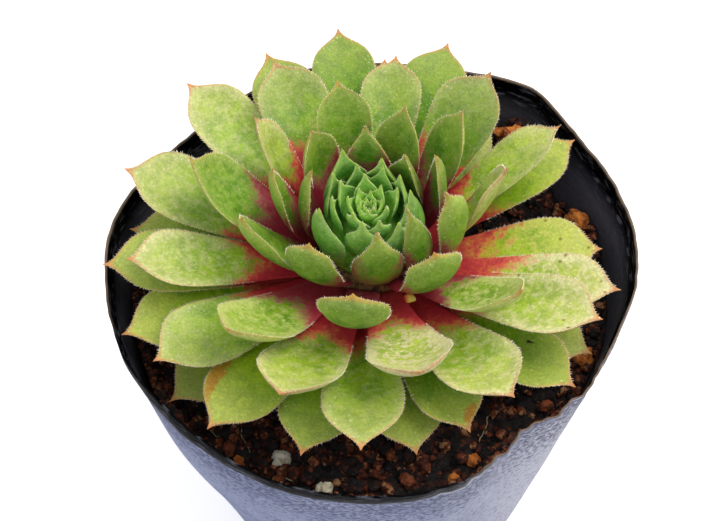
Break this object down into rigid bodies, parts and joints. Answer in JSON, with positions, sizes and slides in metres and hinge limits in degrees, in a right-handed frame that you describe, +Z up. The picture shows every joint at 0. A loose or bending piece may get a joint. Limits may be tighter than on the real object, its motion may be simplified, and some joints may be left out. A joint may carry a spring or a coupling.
{
  "type": "potted houseleek",
  "caption": "Houseleek rosette of fleshy pointed leaves on a short hidden stem, rooted in crumbly soil in a soft black nursery pot.",
  "frame": {"origin": "centre of the pot's flat underside, on the surface that the pot stands on", "axes": "+Z up along the pot's axis; -Y is the side that the rosette leans towards"},
  "size_m": [0.0917, 0.0952, 0.0947],
  "materials": {
    "leaf_young": "satin",
    "leaf_grown": "satin",
    "leaf_old": "satin",
    "bud": "satin",
    "stem": "matte",
    "soil": "matte",
    "clay_grain": "matte",
    "pumice_grain": "matte",
    "pot_film": "satin"
  },
  "bodies": {
    "root": {"leaf_21": "leaf_young", "leaf_22": "leaf_young", "leaf_23": "leaf_young", "leaf_24": "leaf_young", "leaf_25": "leaf_young", "leaf_26": "leaf_young", "leaf_27": "leaf_young", "leaf_28": "leaf_young", "leaf_29": "leaf_young", "leaf_30": "leaf_young", "leaf_31": "leaf_young", "leaf_32": "leaf_young", "leaf_33": "leaf_young", "leaf_34": "leaf_young", "leaf_35": "leaf_young", "leaf_36": "leaf_young", "leaf_37": "leaf_young", "leaf_38": "leaf_young", "leaf_39": "leaf_young", "leaf_40": "leaf_grown", "leaf_41": "leaf_grown", "leaf_42": "leaf_grown", "leaf_43": "leaf_grown", "leaf_44": "leaf_grown", "leaf_45": "leaf_grown", "leaf_46": "leaf_grown", "leaf_47": "leaf_grown", "leaf_48": "leaf_grown", "leaf_49": "leaf_grown", "leaf_50": "leaf_grown", "leaf_51": "leaf_grown", "leaf_52": "leaf_grown", "leaf_53": "leaf_grown", "leaf_54": "leaf_grown", "leaf_55": "leaf_grown", "leaf_56": "leaf_grown", "leaf_57": "leaf_old", "leaf_58": "leaf_old", "leaf_59": "leaf_old", "leaf_60": "leaf_old", "leaf_62": "leaf_old", "leaf_63": "leaf_old", "leaf_64": "leaf_old", "leaf_65": "leaf_old", "leaf_66": "leaf_old", "leaf_67": "leaf_old", "leaf_68": "leaf_old", "leaf_69": "leaf_old", "leaf_70": "leaf_old", "leaf_72": "leaf_old", "leaf_73": "leaf_old", "leaf_76": "leaf_old", "leaf_79": "leaf_old", "bud": "bud", "stem": "stem", "soil": "soil", "grain_clay_brown": "clay_grain", "grain_clay_orange": "clay_grain", "grain_pumice": "pumice_grain", "pot": "pot_film"}
  },
  "joints": []
}
